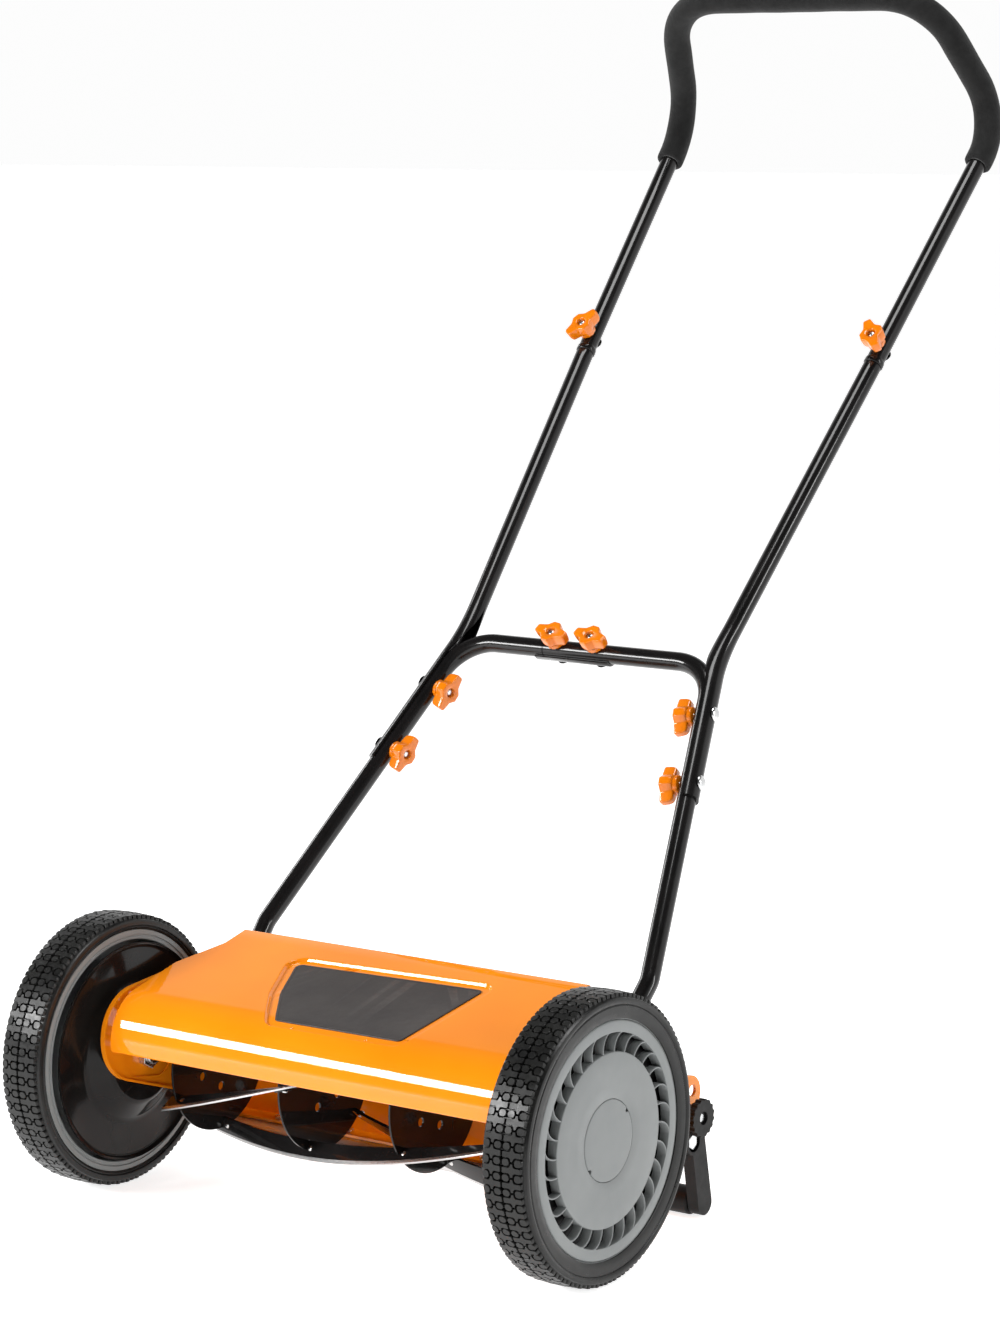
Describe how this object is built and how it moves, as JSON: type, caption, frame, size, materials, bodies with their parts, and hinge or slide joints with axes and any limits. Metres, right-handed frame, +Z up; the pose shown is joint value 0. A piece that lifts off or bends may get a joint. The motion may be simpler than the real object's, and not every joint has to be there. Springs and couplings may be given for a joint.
{
  "type": "reel mower",
  "caption": "Push reel mower: helical cutting reel geared to two treaded wheels, formed cover, rear height roller and a bolted tube handle with a foam grip.",
  "frame": {"origin": "middle of the whole mower's footprint, on the ground", "axes": "+Z up, -Y towards the front, +X towards the right-hand wheel, along the wheel axle"},
  "size_m": [0.588, 0.9552, 1.1171],
  "materials": {
    "orange_paint": "glossy powder coat",
    "badge_plastic": "satin",
    "ground_steel": "ground",
    "zinc_steel": "zinc plated",
    "gloss_black": "high gloss",
    "black_plastic": "moulded, lightly textured",
    "tyre_rubber": "moulded tread",
    "grey_plastic": "satin",
    "bronze": "sintered",
    "black_enamel": "gloss",
    "grip_foam": "closed-cell foam",
    "orange_plastic": "gloss"
  },
  "bodies": {
    "chassis": {"side_plate_right": "orange_paint", "side_plate_left": "orange_paint", "top_cover": "orange_paint", "badge_plate": "badge_plastic", "bed_bar": "orange_paint", "bed_knife": "ground_steel", "chassis_bolts": "zinc_steel", "stub_axle_right": "zinc_steel", "stub_axle_left": "zinc_steel", "axle_fasteners": "zinc_steel", "dust_cover_right": "gloss_black", "dust_cover_left": "gloss_black", "reel_bearings": "black_plastic", "handle_pins": "zinc_steel", "adjuster_pivots": "zinc_steel"},
    "wheel_right": {"tyre_right": "tyre_rubber", "wheel_rim_right": "grey_plastic", "ring_gear_right": "grey_plastic", "hub_bush_right": "bronze", "hubcap_right": "grey_plastic", "centre_cap_right": "grey_plastic"},
    "wheel_left": {"tyre_left": "tyre_rubber", "wheel_rim_left": "grey_plastic", "ring_gear_left": "grey_plastic", "hub_bush_left": "bronze", "hubcap_left": "grey_plastic", "centre_cap_left": "grey_plastic"},
    "reel": {"reel_shaft": "ground_steel", "reel_discs": "black_enamel", "reel_blade_1": "black_enamel", "reel_blade_2": "black_enamel", "reel_blade_3": "black_enamel", "reel_blade_4": "black_enamel", "reel_blade_5": "black_enamel", "pinion_right": "zinc_steel", "pinion_left": "zinc_steel", "ratchet_pawls": "zinc_steel", "pinion_clips": "zinc_steel"},
    "height_frame": {"height_bracket_right": "black_plastic", "height_bracket_left": "black_plastic", "adjuster_bolts": "zinc_steel", "roller_axle": "zinc_steel"},
    "roller": {"roller": "black_plastic"},
    "adjuster_knob_right": {"adjuster_knob_right": "black_plastic"},
    "adjuster_knob_left": {"adjuster_knob_left": "black_plastic"},
    "handle": {"lower_tube_right": "black_enamel", "lower_tube_left": "black_enamel", "middle_tube_right": "black_enamel", "middle_tube_left": "black_enamel", "upper_tube": "black_enamel", "foam_grip": "grip_foam", "handle_bolts": "zinc_steel"},
    "knob_cross_left": {"knob_cross_left": "orange_plastic"},
    "knob_cross_right": {"knob_cross_right": "orange_plastic"},
    "knob_side_lower_right": {"knob_side_lower_right": "orange_plastic"},
    "knob_side_lower_left": {"knob_side_lower_left": "orange_plastic"},
    "knob_side_upper_right": {"knob_side_upper_right": "orange_plastic"},
    "knob_side_upper_left": {"knob_side_upper_left": "orange_plastic"},
    "knob_top_right": {"knob_top_right": "orange_plastic"},
    "knob_top_left": {"knob_top_left": "orange_plastic"}
  },
  "joints": [
    {"name": "wheel_right_spin", "type": "hinge", "parent": "chassis", "child": "wheel_right", "pos_m": [0.27, -0.35063, 0.127], "axis": [1, 0, 0], "continuous": true},
    {"name": "wheel_left_spin", "type": "hinge", "parent": "chassis", "child": "wheel_left", "pos_m": [-0.27, -0.35063, 0.127], "axis": [1, 0, 0], "continuous": true},
    {"name": "reel_spin", "type": "hinge", "parent": "chassis", "child": "reel", "pos_m": [0, -0.29453, 0.115], "axis": [1, 0, 0], "continuous": true},
    {"name": "height_swing", "type": "hinge", "parent": "chassis", "child": "height_frame", "pos_m": [0, -0.14364, 0.073], "axis": [1, 0, 0], "range_deg": [-10, 40]},
    {"name": "roller_spin", "type": "hinge", "parent": "height_frame", "child": "roller", "pos_m": [0, -0.12513, 0.013], "axis": [1, 0, 0], "continuous": true},
    {"name": "adjuster_knob_right_turn", "type": "hinge", "parent": "height_frame", "child": "adjuster_knob_right", "pos_m": [0.246, -0.14133, 0.096], "axis": [1, 0, 0], "continuous": true},
    {"name": "adjuster_knob_left_turn", "type": "hinge", "parent": "height_frame", "child": "adjuster_knob_left", "pos_m": [-0.246, -0.14133, 0.096], "axis": [1, 0, 0], "continuous": true},
    {"name": "handle_fold", "type": "hinge", "parent": "chassis", "child": "handle", "pos_m": [0, -0.24563, 0.156], "axis": [1, 0, 0], "range_deg": [0, 25]},
    {"name": "knob_cross_left_turn", "type": "hinge", "parent": "handle", "child": "knob_cross_left", "pos_m": [-0.03, 0.02957, 0.478], "axis": [0, -0.64, 0.7684], "continuous": true},
    {"name": "knob_cross_right_turn", "type": "hinge", "parent": "handle", "child": "knob_cross_right", "pos_m": [0.015, 0.02957, 0.478], "axis": [0, -0.64, 0.7684], "continuous": true},
    {"name": "knob_side_lower_right_turn", "type": "hinge", "parent": "handle", "child": "knob_side_lower_right", "pos_m": [0.1745, -0.05353, 0.38], "axis": [-0.9758, -0.1414, -0.1667], "continuous": true},
    {"name": "knob_side_lower_left_turn", "type": "hinge", "parent": "handle", "child": "knob_side_lower_left", "pos_m": [-0.1745, -0.05353, 0.38], "axis": [0.9758, -0.1414, -0.1667], "continuous": true},
    {"name": "knob_side_upper_right_turn", "type": "hinge", "parent": "handle", "child": "knob_side_upper_right", "pos_m": [0.158, -0.00604, 0.436], "axis": [-0.9758, -0.1414, -0.1667], "continuous": true},
    {"name": "knob_side_upper_left_turn", "type": "hinge", "parent": "handle", "child": "knob_side_upper_left", "pos_m": [-0.158, -0.00604, 0.436], "axis": [0.9758, -0.1414, -0.1667], "continuous": true},
    {"name": "knob_top_right_turn", "type": "hinge", "parent": "handle", "child": "knob_top_right", "pos_m": [0.17108, 0.28173, 0.76084], "axis": [0, -0.7429, 0.6694], "continuous": true},
    {"name": "knob_top_left_turn", "type": "hinge", "parent": "handle", "child": "knob_top_left", "pos_m": [-0.17108, 0.28173, 0.76084], "axis": [0, -0.7429, 0.6694], "continuous": true}
  ],
  "couplings": [
    {"joint": "wheel_left_spin", "follows": "wheel_right_spin", "ratio": 1},
    {"joint": "reel_spin", "follows": "wheel_right_spin", "ratio": 4.9231}
  ]
}
